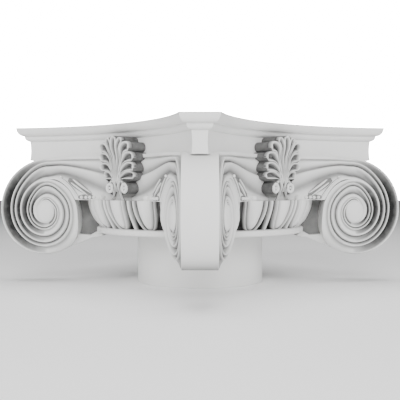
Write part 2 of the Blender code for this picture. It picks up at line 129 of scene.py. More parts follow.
class CapitalSizes(bpy.types.PropertyGroup):
    """Sizes of the capital, in metres."""

    abacus_diagonal: length("Abacus diagonal", 0.62, "From corner cut to corner cut")
    corner_cut: length("Corner cut", 0.055, "Width of the flat at each corner of the abacus")
    side_sweep: FloatProperty(name="Side sweep", default=math.radians(69.5), subtype="ANGLE",
                              description="Angle that each hollow side covers")
    ovolo_height: length("Ovolo height", 0.0133, "Top moulding of the abacus")
    ovolo_depth: length("Ovolo depth", 0.010, "How far the top moulding stands out")
    bead_height: length("Bead height", 0.009, "Rounded moulding under the ovolo")
    bead_depth: length("Bead depth", 0.008, "How far the bead stands out")
    bead_step: length("Bead step", 0.002, "Narrow ledge between ovolo and bead")
    fascia_height: length("Fascia height", 0.0319, "Plain band of the abacus")
    fascia_hollow: length("Fascia hollow", 0.0012, "How far the plain band curves inwards")
    neck_radius: length("Neck radius", 0.1066, "Plain round neck at the foot")
    neck_height: length("Neck height", 0.0849, "Height of the neck up to the ring")
    ring_radius: length("Ring radius", 0.1755, "Plain ring under the eggs")
    ring_height: length("Ring height", 0.0096, "Height of the plain ring")
    ring_edge: length("Ring edge", 0.003, "Rounding of the ring")
    egg_height: length("Egg height", 0.0452, "Height of the carved ring")
    echinus_radius: length("Egg ring radius", 0.191, "Radius of the carved ring at its top")
    egg_relief: length("Egg relief", 0.015, "How far the eggs stand out of their shells")
    egg_count: IntProperty(name="Eggs", default=20, min=8, description="Eggs round the ring")
    channel_proud: length("Band stand-out", 0.0056, "How far the band stands out of the fascia")
    face_dip: length("Face dip", 0.009, "How much deeper than an arc the carved face is in its middle")
    edge_gap: length("Edge gap", 0.0016, "Between a volute and the lower edge of the band")
    volute_overhang: length("Volute overhang", 0.0257, "How far the volutes pass the corner cuts")
    rim_width: length("Rim width", 0.0495, "Flat rim on the diagonal, between two volutes")
    volute_radius: length("Volute radius", 0.0905, "From the eye to the top of the outer turn")
    eye_drop: length("Eye drop", 0.0864, "From the underside of the abacus to the eye")
    channel_depth: length("Channel depth", 0.013, "Deepest carving of the outer turn")
    eye_width: length("Eye width", 0.033, "Width of the eye of the volute")
    eye_height: length("Eye height", 0.038, "Height of the eye of the volute")
    eye_rise: length("Eye rise", 0.005, "How far the eye stands out")
    web_width: length("Web width", 0.024, "Recessed plate between volute and bell")
    foot_width: length("Foot width", 0.046, "Thicker lower edge of the web")
    leaf_height: length("Leaf height", 0.1015, "Leaf ornament in the middle of a side")
    leaf_width: length("Leaf width", 0.080, "Width of the leaf ornament")
    leaf_relief: length("Leaf relief", 0.024, "How far the leaf stands out")
    leaf_lean: length("Leaf lean", 0.003, "How far the top of the leaf leans out")


class FinishSettings(bpy.types.PropertyGroup):
    """Colours and grain of the white casting, and of the floor."""

    cast_colour: colour("Casting", (0.80, 0.80, 0.79, 1), "Primed casting")
    # Colour mixed in as painted shade where the carving is deep or lies in shadow
    shade_colour: colour("Recesses", (0.025, 0.025, 0.025, 1), "Dark tone of the deep carving")
    roughness: FloatProperty(name="Roughness", default=0.55, min=0, max=1, subtype="FACTOR",
                             description="Roughness of the primer")
    sheen: FloatProperty(name="Sheen", default=0.3, min=0, max=1, subtype="FACTOR",
                         description="Shine of the primer")
    grain: length("Grain", 0.0009, "Size of the finest grain of the primer")
    floor_colour: colour("Floor", (0.97, 0.97, 0.97, 1), "Plain pale floor")


class StageSettings(bpy.types.PropertyGroup):
    """Camera and lights."""

    camera_distance: length("Camera distance", 1.271, "From the axis of the capital")
    camera_height: length("Camera height", 0.1644, "Above the underside")
    lens: FloatProperty(name="Lens", default=66.4, min=10, description="Focal length on a 36 mm sensor")
    camera_shift: FloatProperty(name="Shift", default=-0.03875, description="Vertical shift of the lens")
    side_power: power("Sides", 20.0, "Each light at the side")
    front_power: power("Front", 42.0, "Light over the camera")
    top_power: power("Top", 50.0, "Soft light from above")
    world_strength: FloatProperty(name="Sky", default=0.14, min=0, description="Even light all round")
    backdrop_strength: FloatProperty(name="Backdrop", default=30.0, min=0, description="White seen behind")


def smooth_step(share):
    """A soft rise from 0 to 1."""
    share = min(max(share, 0.0), 1.0)
    return share * share * (3 - 2 * share)


class Layout:
    """Levels and plan of the capital, worked out from the sizes in the panel."""

    def __init__(self, sizes):
        self.sizes = sizes
        self.top = capital_high.z
        self.ovolo_bottom = self.top - sizes.ovolo_height
        self.fascia_top = self.ovolo_bottom - sizes.bead_height
        self.abacus_bottom = self.fascia_top - sizes.fascia_height
        self.ring_top = sizes.neck_height + sizes.ring_height
        self.egg_line = self.ring_top + sizes.egg_height
        self.band_height = self.abacus_bottom - self.egg_line
        self.eye_level = self.abacus_bottom - sizes.eye_drop
        self.half_diagonal = sizes.abacus_diagonal / 2
        half_chord = (self.half_diagonal - sizes.corner_cut / 2) / math.sqrt(2)
        self.side_radius = half_chord / math.sin(sizes.side_sweep / 2)
        corner = (self.half_diagonal + sizes.corner_cut / 2) / math.sqrt(2)
        self.side_centre = corner + self.side_radius * math.cos(sizes.side_sweep / 2)
        self.fascia_inset = sizes.ovolo_depth + sizes.bead_step + sizes.bead_depth
        self.front = self.side_centre - self.side_radius - self.fascia_inset + sizes.channel_proud
        arc_front = self.front + sizes.face_dip
        reach = self.half_diagonal + sizes.volute_overhang
        rim_x = (reach + sizes.rim_width / 2) / math.sqrt(2)
        rim_y = (reach - sizes.rim_width / 2) / math.sqrt(2)
        self.face_centre = (rim_x**2 + rim_y**2 - arc_front**2) / (2 * (rim_x - arc_front))
        self.face_radius = self.face_centre - arc_front
        self.rim_run = self.face_radius * math.atan2(rim_y, self.face_centre - rim_x)
        self.eye_run = self.rim_run - WIDTH_SHARE * self.spiral_radius(0.25)

    def spiral_radius(self, turns):
        """Radius of the spiral, so many turns in from its top."""
        return self.sizes.volute_radius * math.exp(-(SPIRAL_SHRINK * turns + SPIRAL_TIGHTEN * turns**2))

    def face_point(self, run, level, relief):
        """A point on the +X side: run along the face arc, level, and relief towards the viewer."""
        turn = run / self.face_radius
        dip = self.sizes.face_dip * max(1 - (run / self.eye_run)**2, 0)**2
        arm = self.face_radius + dip - relief
        return Vector((self.face_centre - arm * math.cos(turn), arm * math.sin(turn), level))

    def rim_relief(self, run, turns):
        """The outer rim follows the flat edge of the corner slab, then joins the face arc."""
        turn = run / self.face_radius
        edge = (self.face_centre - self.sizes.rim_width / math.sqrt(2)) / (math.cos(turn) + math.sin(turn))
        return (self.face_radius - edge) * (1 - smooth_step((turns - 0.5) / 0.25))

    def turn_share(self, share, turns):
        """The carved lines lie further in at the outer side of a turn, and further out at its top."""
        angle = math.tau * turns
        from_top = (turns + 0.5) % 1 - 0.5
        shift = 0.08 * max(math.sin(angle), 0.0) - 0.20 * math.exp(-(from_top / 0.08)**2)
        return share + 4 * share * (1 - share) * shift * smooth_step((share - 0.08) / 0.2)

    def turn_relief(self, run, turns, share, depth):
        """Relief of a line of the carving. The first channel is deep at the outer side only."""
        if share < FIRST_RIDGE:
            depth *= 0.3 + 0.7 * max(math.sin(math.tau * turns), 0.0)
        rim = self.rim_relief(run, turns) * (1 - share)**3 if turns < 0.75 else 0.0
        swell = (self.spiral_radius(turns) / self.sizes.volute_radius)**0.8
        deepest = self.rim_relief(run, 0.0) - self.sizes.channel_depth
        return max(rim - depth * self.sizes.channel_depth * swell, deepest)

    def turn_shade_paint(self, turns, share, depth):
        """Painted shade on a line of the carving: its bottom all round, and its slopes at the outer side."""
        outer = max(math.sin(math.tau * turns), 0.0)**0.35 if turns < 2 else 0.0
        depth = max(depth, 0.0)
        if share < FIRST_RIDGE:
            return max(0.6 * depth**6, outer * min(depth * 8, 0.80 + 0.32 * depth))
        depth = min(depth / LATER_DEPTH, 1.0)
        if share > 0.64 and 1.55 < turns < 1.95:
            return min(depth * 2, 1.0)
        return max(0.85 * depth**1.4, outer * min(depth * 3, 1.0))

    def seam_level(self, share):
        """Level at the top of a volute, where the band's lines run into the first turn."""
        outer, inner = self.spiral_radius(0), self.spiral_radius(1)
        return self.eye_level + outer + (inner - outer) * self.turn_share(share, 0)

    def lower_edge(self, part):
        """Level just above the inner side of the volute, which the band's lower edge follows."""
        turns = 0.9
        for _ in range(4):
            across = self.eye_run * (1 - part) / (WIDTH_SHARE * self.spiral_radius(turns))
            turns = 1 - math.asin(min(across, 1.0)) / math.tau
        gap = self.sizes.edge_gap * smooth_step((1 - part) / 0.08)
        return self.eye_level + self.spiral_radius(turns) * math.cos(math.tau * turns) + gap

    def band_level(self, share, part):
        """Level of a line of the band, part of the way from the middle of a side to the eye."""
        levels = []
        for place, middle, beside in BAND_LINES:
            rise = smooth_step(part / 0.9)
            levels.append((place, self.egg_line + self.band_height * (middle + (beside - middle) * rise)))
        edge = max(self.lower_edge(part), levels[-1][1])
        levels[-1] = (1.0, edge)
        levels[-2] = (levels[-2][0], max(levels[-2][1], edge + BAND_LIP))
        for (before, high), (after, low) in zip(levels, levels[1:]):
            if share <= after:
                level = high + (low - high) * (share - before) / (after - before)
                break
        seam = self.seam_level(share)
        return level + (seam - level) * smooth_step((part - 0.8) / 0.2)

    def eye_radius(self, angle):
        """From the middle of the oval eye to its edge."""
        wide, high = self.sizes.eye_width / 2, self.sizes.eye_height / 2
        return 1 / math.hypot(math.sin(angle) / wide, math.cos(angle) / high)

    def eye_distance(self):
        """From the axis to the level of the eye, along the diagonal."""
        return (self.face_point(self.eye_run, self.eye_level, 0).xy @ Vector((1, 1))) / math.sqrt(2)


def layout_of(context):
    return Layout(context.scene.capital_sizes)


def warped_grid(bm, columns, rows, place):
    """A grid of quads, each vertex put where place(column, row) says, with the painted shade that place gives
    it.
    """
    depth = bm.verts.layers.float.get("cavity") or bm.verts.layers.float.new("cavity")
    made = bmesh.ops.create_grid(bm, x_segments=columns, y_segments=rows, size=0.5)
    table = {}
    for vert in made["verts"]:
        column = round((vert.co.x + 0.5) * columns)
        row = round((vert.co.y + 0.5) * rows)
        vert.co, vert[depth] = place(column, row)
        table[column, row] = vert
    return table


def loop_stack(bm, loops):
    """Closed loops of points bridged one to the next, with both ends filled."""
    rows = []
    for loop in loops:
        verts = [bm.verts.new(point) for point in loop]
        rows.append([bm.edges.new((verts[i - 1], verts[i])) for i in range(len(verts))])
    for lower, upper in zip(rows, rows[1:]):
        bmesh.ops.bridge_loops(bm, edges=lower + upper)
    bmesh.ops.contextual_create(bm, geom=rows[0])
    bmesh.ops.contextual_create(bm, geom=rows[-1])


def round_about(bm, count):
    """Repeats what is in the mesh round the capital's axis."""
    geom = list(bm.verts) + list(bm.edges) + list(bm.faces)
    bmesh.ops.spin(bm, geom=geom, axis=(0, 0, 1), cent=(0, 0, 0), steps=count - 1,
                   angle=math.tau * (count - 1) / count, use_duplicate=True)


def finish_piece(context, name, bm, sharp=35):
    """Welds and shades a piece, gives it the white finish and fixes it to the frame."""
    bmesh.ops.remove_doubles(bm, verts=bm.verts, dist=WELD)
    bmesh.ops.dissolve_degenerate(bm, edges=bm.edges, dist=0.000005)
    bmesh.ops.recalc_face_normals(bm, faces=bm.faces)
    mesh = bpy.data.meshes.new(name)
    bm.to_mesh(mesh)
    bm.free()
    if not mesh.polygons:
        raise RuntimeError(f"{name} came out empty")
    mesh.shade_smooth()
    mesh.set_sharp_from_angle(angle=math.radians(sharp))
    mesh.materials.append(white_cast(context))
    piece = bpy.data.objects.new(name, mesh)
    context.scene.collection.objects.link(piece)
    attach(piece, "root")
    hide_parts("capital")


def add_node(tree, kind, **inputs):
    """A new node with some of its inputs set."""
    node = tree.nodes.new(kind)
    for socket, value in inputs.items():
        node.inputs[socket.replace("_", " ")].default_value = value
    return node


def cast_surface(grain):
    """Node group: tone, mask of the painted shade in the recesses and normal of the primed casting."""
    group = bpy.data.node_groups.new("cast_surface", "ShaderNodeTree")
    group.interface.new_socket("Tone", in_out="OUTPUT", socket_type="NodeSocketFloat")
    group.interface.new_socket("Recess", in_out="OUTPUT", socket_type="NodeSocketFloat")
    group.interface.new_socket("Normal", in_out="OUTPUT", socket_type="NodeSocketVector")
    link = group.links.new
    ends = group.nodes.new("NodeGroupOutput")
    place = group.nodes.new("ShaderNodeTexCoord")

    cloud = add_node(group, "ShaderNodeTexNoise", Scale=14.0, Detail=4.0)
    link(place.outputs["Object"], cloud.inputs["Vector"])
    tone = add_node(group, "ShaderNodeMapRange", From_Min=0.3, From_Max=0.7, To_Min=0.95, To_Max=1.0)
    link(cloud.outputs["Fac"], tone.inputs["Value"])
    link(tone.outputs["Result"], ends.inputs["Tone"])

    # Per-vertex painted shade laid into the carving, varied in uneven patches
    painted_shade_attribute = group.nodes.new("ShaderNodeAttribute")
    painted_shade_attribute.attribute_name = "cavity"
    patch = add_node(group, "ShaderNodeTexNoise", Scale=90.0, Detail=3.0)
    link(place.outputs["Object"], patch.inputs["Vector"])
    uneven = add_node(group, "ShaderNodeMapRange", From_Min=0.3, From_Max=0.7, To_Min=0.94, To_Max=1.04)
    link(patch.outputs["Fac"], uneven.inputs["Value"])
    painted_shade_mask = group.nodes.new("ShaderNodeMath")
    painted_shade_mask.operation = "MULTIPLY"
    painted_shade_mask.use_clamp = True
    link(painted_shade_attribute.outputs["Fac"], painted_shade_mask.inputs[0])
    link(uneven.outputs["Result"], painted_shade_mask.inputs[1])
    link(painted_shade_mask.outputs["Value"], ends.inputs["Recess"])

    fine = add_node(group, "ShaderNodeTexNoise", Scale=1 / grain, Detail=2.0)
    link(place.outputs["Object"], fine.inputs["Vector"])
    first = add_node(group, "ShaderNodeBump", Strength=0.12, Distance=0.0002)
    link(fine.outputs["Fac"], first.inputs["Height"])
    coarse = add_node(group, "ShaderNodeTexNoise", Scale=120.0, Detail=2.0)
    link(place.outputs["Object"], coarse.inputs["Vector"])
    second = add_node(group, "ShaderNodeBump", Strength=0.15, Distance=0.0006)
    link(coarse.outputs["Fac"], second.inputs["Height"])
    link(first.outputs["Normal"], second.inputs["Normal"])
    link(second.outputs["Normal"], ends.inputs["Normal"])
    return group


def white_cast(context):
    """Matt white primer over a smooth casting, with painted shade in the deep carving."""
    finish = context.scene.capital_finish
    made = bpy.data.materials.get("white_cast_surface")
    if made:
        return made
    material = bpy.data.materials.new("white_cast_surface")
    material.use_nodes = True
    tree = material.node_tree
    shader = tree.nodes["Principled BSDF"]
    shader.inputs["Roughness"].default_value = finish.roughness
    shader.inputs["Specular IOR Level"].default_value = finish.sheen
    surface = tree.nodes.new("ShaderNodeGroup")
    surface.node_tree = cast_surface(finish.grain)
    # Mixes in the recess colour as painted shade
    base = tree.nodes.new("ShaderNodeMix")
    base.data_type = "RGBA"
    base.inputs["A"].default_value = finish.cast_colour
    base.inputs["B"].default_value = finish.shade_colour
    tree.links.new(surface.outputs["Recess"], base.inputs["Factor"])
    toned = tree.nodes.new("ShaderNodeMix")
    toned.data_type = "RGBA"
    toned.blend_type = "MULTIPLY"
    toned.inputs["Factor"].default_value = 1.0
    tree.links.new(base.outputs["Result"], toned.inputs["A"])
    tree.links.new(surface.outputs["Tone"], toned.inputs["B"])
    tree.links.new(toned.outputs["Result"], shader.inputs["Base Color"])
    tree.links.new(surface.outputs["Normal"], shader.inputs["Normal"])
    return material


class CAPITAL_OT_abacus(bpy.types.Operator):
    """Builds the hollow-sided abacus with its mouldings"""

    bl_idname = "capital.abacus"
    bl_label = "Abacus"

    segments: IntProperty(name="Segments", default=40, min=8, description="Steps along each hollow side")

    def loop(self, plan, inset, level):
        """The plan of the abacus, set in from its top edge."""
        arc = plan.side_radius + inset
        corner = plan.half_diagonal - inset
        end = math.radians(45) + math.asin((math.sqrt(2) * corner - plan.side_centre) / (math.sqrt(2) * arc))
        points = []
        for side in range(4):
            turn = Matrix.Rotation(side * math.pi / 2, 3, "Z")
            for step in range(self.segments + 1):
                angle = end * (2 * step / self.segments - 1)
                spot = Vector((plan.side_centre - arc * math.cos(angle), arc * math.sin(angle), level))
                points.append(turn @ spot)
        return points

    def execute(self, context):
        plan = layout_of(context)
        sizes = plan.sizes
        inset = plan.fascia_inset
        profile = [(inset, plan.abacus_bottom), (inset, plan.abacus_bottom + 0.0006)]
        for step in range(1, 8):
            share = step / 8
            hollow = sizes.fascia_hollow * math.sin(math.pi * share)
            profile.append((inset + hollow, plan.abacus_bottom + sizes.fascia_height * share))
        profile.append((inset, plan.fascia_top - 0.0004))
        profile.append((inset, plan.fascia_top))
        for step in range(0, 9):
            angle = math.pi / 2 * step / 8
            out = inset - sizes.bead_depth * math.sin(angle)
            profile.append((out, plan.fascia_top + sizes.bead_height * 0.86 * (1 - math.cos(angle))))
        profile.append((inset - sizes.bead_depth, plan.ovolo_bottom - 0.0002))
        profile.append((sizes.ovolo_depth + sizes.bead_step, plan.ovolo_bottom))
        profile.append((sizes.ovolo_depth, plan.ovolo_bottom))
        for step in range(1, 11):
            angle = math.pi / 2 * step / 10
            out = sizes.ovolo_depth * (1 - math.sin(angle))
            profile.append((out, plan.ovolo_bottom + sizes.ovolo_height * (1 - math.cos(angle))))
        bm = bmesh.new()
        loop_stack(bm, [self.loop(plan, inset, level) for inset, level in profile])
        finish_piece(context, "abacus", bm, sharp=28)
        return {"FINISHED"}


class CAPITAL_OT_bell(bpy.types.Operator):
    """Builds the round neck, the plain ring and the core behind the carving"""

    bl_idname = "capital.bell"
    bl_label = "Neck and ring"

    steps: IntProperty(name="Steps", default=144, min=24, description="Steps round the axis")

    def execute(self, context):
        plan = layout_of(context)
        sizes = plan.sizes
        edge = sizes.ring_edge
        core = sizes.echinus_radius - sizes.egg_relief - 0.02
        outline = [(0, 0), (sizes.neck_radius - 0.0008, 0), (sizes.neck_radius, 0.0008)]
        outline += [(sizes.neck_radius, sizes.neck_height)]
        for angle in (270, 300, 330, 360):
            turn = math.radians(angle)
            outline.append((sizes.ring_radius - edge + edge * math.cos(turn),
                            sizes.neck_height + edge + edge * math.sin(turn)))
        for angle in (0, 30, 60, 90):
            turn = math.radians(angle)
            outline.append((sizes.ring_radius - edge + edge * math.cos(turn),
                            plan.ring_top - edge + edge * math.sin(turn)))
        behind = plan.front - 0.005
        shoulder = plan.ring_top + sizes.egg_height * 0.75
        outline += [(core, plan.ring_top), (core, shoulder), (behind, shoulder)]
        outline += [(behind, plan.abacus_bottom + 0.004), (0, plan.abacus_bottom + 0.004)]
        bm = bmesh.new()
        verts = [bm.verts.new((radius, 0, level)) for radius, level in outline]
        edges = [bm.edges.new(pair) for pair in zip(verts, verts[1:])]
        bmesh.ops.spin(bm, geom=verts + edges, axis=(0, 0, 1), cent=(0, 0, 0), steps=self.steps,
                       angle=math.tau, use_merge=True)
        finish_piece(context, "neck_and_ring", bm)
        return {"FINISHED"}


class CAPITAL_OT_egg_ring(bpy.types.Operator):
    """Carves the ring of eggs in their shells, with darts between"""

    bl_idname = "capital.egg_ring"
    bl_label = "Egg and dart"

    rows: IntProperty(name="Rows", default=22, min=6, description="Steps up the height of an egg")

    def half_width(self, rise):
        """Half width of an egg at a share of its height, in half cells."""
        return 0.04 + 0.47 * math.sqrt(max(1 - (1 - rise)**2.4, 0.0))

    def execute(self, context):
        plan = layout_of(context)
        sizes = plan.sizes
        cell = math.tau / sizes.egg_count
        foot = sizes.ring_radius - sizes.ring_edge
        egg_steps = 8
        # Offsets past the egg's edge in half cells, and the drop there as a share of the relief
        shell = [(0.02, 1.05), (0.07, 1.0), (0.085, 0.42), (0.10, 0.22), (0.12, 0.17), (0.14, 0.22),
                 (0.155, 0.45), (0.165, 0.95), (0.19, 1.25)]
        dart = [(0.88, 1.25), (0.915, 0.95), (0.935, 0.45), (0.965, 0.28), (1.0, 0.22)]
        half = egg_steps + len(shell) + len(dart)
        widest = math.radians(80)

        def place(column, row):
            rise = row / self.rows
            side = abs(column - half)
            egg = self.half_width(rise)
            depth = sizes.egg_relief * (0.70 + 0.30 * math.sin(math.pi * min(rise * 0.75 + 0.25, 1)))
            if side <= egg_steps:
                turn = widest * side / egg_steps
                across = egg * math.sin(turn) / math.sin(widest)
                drop = (1 - math.cos(turn)) / (1 - math.cos(widest))
                low = min(rise / 0.28, 1)
                drop = 1 - (1 - drop) * (0.10 + 0.90 * math.sqrt(1 - (1 - low)**2))
            elif side <= egg_steps + len(shell):
                past, drop = shell[side - egg_steps - 1]
                across = egg + past
            else:
                order = side - egg_steps - len(shell)
                across, drop = dart[order - 1]
                across = min(max(across, egg + shell[-1][0] + 0.01 * order), 1.0)
            outer = foot + (sizes.echinus_radius - foot) * math.sin(rise * math.pi / 2)
            radius = outer - drop * depth * 0.9
            angle = cell * (across if column >= half else -across) / 2
            level = plan.ring_top - 0.0004 + (sizes.egg_height + 0.0004) * rise
            # Painted shade in the gaps between egg, shell and dart, stronger low down
            gap_shade_paint = min(max(drop - 0.30, 0) * 1.7, 1) * (0.82 + 0.18 * smooth_step((0.6 - rise) / 0.4))
            return Vector((radius * math.cos(angle), radius * math.sin(angle), level)), gap_shade_paint

        bm = bmesh.new()
        table = warped_grid(bm, 2 * half, self.rows, place)
        top = [table[column, self.rows] for column in range(2 * half + 1)]
        edges = [bm.edges.get(pair) for pair in zip(top, top[1:])]
        made = bmesh.ops.extrude_edge_only(bm, edges=edges)
        for vert in made["geom"]:
            if isinstance(vert, bmesh.types.BMVert):
                inward = Vector((vert.co.x, vert.co.y, 0)).normalized() * foot * 0.85
                vert.co = inward + Vector((0, 0, plan.egg_line))
        round_about(bm, sizes.egg_count)
        finish_piece(context, "egg_ring", bm)
        return {"FINISHED"}


class CAPITAL_OT_corners(bpy.types.Operator):
    """Carves the corner slabs with their volutes, and the bands that join them"""

    bl_idname = "capital.corners"
    bl_label = "Volutes and bands"

    steps_a_turn: IntProperty(name="Steps a turn", default=64, min=16, description="Steps round one turn")
    turns: FloatProperty(name="Turns", default=2.75, min=1, description="Turns of the spiral down to the eye")
    columns: IntProperty(name="Columns", default=44, min=8, description="Steps along half a band")

    def volute(self, bm, plan):
        """The carved ribbon of one volute, as a table of its vertices."""
        def place(step, line):
            turns = step / self.steps_a_turn
            share, depth = TURN_PROFILE[line]
            outer, inner = plan.spiral_radius(turns), plan.spiral_radius(turns + 1)
            angle = math.tau * turns
            radius = outer + (inner - outer) * plan.turn_share(share, turns)
            edge = plan.eye_radius(angle) * 0.98
            clamped = max(radius, edge)
            run = min(plan.eye_run + WIDTH_SHARE * clamped * math.sin(angle), plan.rim_run)
            level = plan.eye_level + clamped * math.cos(angle)
            fade = smooth_step((radius - edge) / 0.002) if turns > 1 else 1.0
            relief = plan.turn_relief(run, turns, share, depth * fade)
            shade_paint = plan.turn_shade_paint(turns, share, depth) * fade
            # Painted shade on the rim where it curls under the bottom of the outer turn
            if line == 0:
                shade_paint += 0.8 * smooth_step((turns - 0.36) / 0.12) * smooth_step((0.54 - turns) / 0.04)
            return plan.face_point(run, level, relief), shade_paint

        return warped_grid(bm, round(self.turns * self.steps_a_turn), len(TURN_PROFILE) - 1, place)

    def band(self, bm, plan):
        """Half a band, from the top of the volute to just past the middle of the side."""
        def place(column, line):
            run = plan.eye_run - (plan.eye_run + BAND_LAP) * column / self.columns
            part = max(run / plan.eye_run, 0.0)
            share, depth = TURN_PROFILE[line]
            seam = plan.turn_relief(plan.eye_run, 0, share, depth)
            # Painted shade on the band's lines, weaker towards the middle of the side
            shade_paint = plan.turn_shade_paint(0, share, depth)
            if share < 0.3:
                depth = 0.0
            elif share > FIRST_RIDGE:
                depth *= 2.1
            joined = smooth_step((part - 0.6) / 0.4)
            relief = -BAND_GROOVE * depth * (1 - joined) + seam * joined + min(run, 0.0)
            return plan.face_point(run, plan.band_level(share, part), relief), shade_paint * (0.6 + 0.4 * part)

        return warped_grid(bm, self.columns, len(TURN_PROFILE) - 1, place)

    def eye(self, bm, plan):
        """The domed eye: an arc spun once and laid on the face."""
        sizes = plan.sizes
        steps = 8
        before = set(bm.verts)
        arc = [bm.verts.new((math.sin(math.pi / 2 * i / steps), 0, math.cos(math.pi / 2 * i / steps)))
               for i in range(steps + 1)]
        edges = [bm.edges.new(pair) for pair in zip(arc, arc[1:])]
        bmesh.ops.spin(bm, geom=arc + edges, axis=(0, 0, 1), cent=(0, 0, 0), steps=48,
                       angle=math.tau, use_merge=True)
        for vert in bm.verts:
            if vert not in before:
                run = plan.eye_run + vert.co.x * sizes.eye_width / 2
                level = plan.eye_level + vert.co.y * sizes.eye_height / 2
                vert.co = plan.face_point(run, level, (sizes.eye_rise + 0.002) * vert.co.z - 0.002)

    def execute(self, context):
        plan = layout_of(context)
        bm = bmesh.new()
        last = len(TURN_PROFILE) - 1
        spiral = self.volute(bm, plan)
        band = self.band(bm, plan)
        self.eye(bm, plan)
        turn = [spiral[step, 0] for step in range(self.steps_a_turn + 1)]
        lower = [band[column, last] for column in range(self.columns + 1)]
        middle = [band[self.columns, line] for line in range(last, -1, -1)]
        upper = [band[column, 0] for column in range(self.columns, -1, -1)]
        outline = []
        for chain in (turn, lower, middle, upper):
            outline += [bm.edges.get(pair) for pair in zip(chain, chain[1:])]
        copy = bmesh.ops.duplicate(bm, geom=list(bm.verts) + list(bm.edges) + list(bm.faces))
        for part in copy["geom"]:
            if isinstance(part, bmesh.types.BMVert):
                part.co = Vector((part.co.y, part.co.x, part.co.z))
        for edge in outline:
            twin = copy["edge_map"][edge]
            bmesh.ops.bridge_loops(bm, edges=[edge, twin])
        round_about(bm, 4)
        finish_piece(context, "volutes_and_bands", bm, sharp=40)
        return {"FINISHED"}


class CAPITAL_OT_webs(bpy.types.Operator):
    """Builds the recessed plates that tie the volutes to the bell"""

    bl_idname = "capital.webs"
    bl_label = "Webs"

    def plate(self, bm, outline, width):
        """A flat plate on the diagonal, from its outline: out from the axis, and up."""
        loops = []
        for side in (-1, 1):
            offset = Vector((1, -1, 0)) * side * width / 2 / math.sqrt(2)
            spots = [Vector((out / math.sqrt(2), out / math.sqrt(2), up)) for out, up in outline]
            loops.append([spot + offset for spot in spots])
        loop_stack(bm, loops)

    def execute(self, context):
        plan = layout_of(context)
        sizes = plan.sizes
        out = plan.eye_distance()
        bm = bmesh.new()
        low = sizes.neck_height
        bottom = plan.eye_level - plan.spiral_radius(0.5)
        web = [(sizes.neck_radius / 2, low - 0.002), (sizes.ring_radius, low - 0.004)]
        web += [(out, plan.eye_level - plan.spiral_radius(0.5) * 0.8), (out, plan.abacus_bottom + 0.004)]
        web += [(sizes.neck_radius / 2, plan.abacus_bottom + 0.004)]
        self.plate(bm, web, sizes.web_width)
        # Painted shade over the whole web plate, which lies in shadow between volute and bell
        depth = bm.verts.layers.float.new("cavity")
        for vert in bm.verts:
            vert[depth] = 0.74
        # The foot runs from under the ring out to the lower part of the volute
        foot = [(sizes.ring_radius - 0.012, low - 0.008), (sizes.ring_radius + 0.004, low - 0.0095)]
        foot += [(out - 0.016, bottom + 0.003), (out + 0.010, bottom + 0.010), (out, plan.eye_level - 0.02)]
        foot += [(out - 0.050, plan.eye_level - 0.03), (out - 0.054, low - 0.004)]
        foot += [(sizes.ring_radius + 0.010, low - 0.0055), (sizes.ring_radius - 0.006, low + 0.003)]
        self.plate(bm, foot, sizes.foot_width)
        round_about(bm, 4)
        bmesh.ops.bevel(bm, geom=[e for e in bm.edges if e.is_manifold and e.calc_face_angle(0) > 0.9],
                        offset=0.0015, segments=2, profile=0.5, affect="EDGES", material=-1)
        finish_piece(context, "corner_webs", bm)
        return {"FINISHED"}


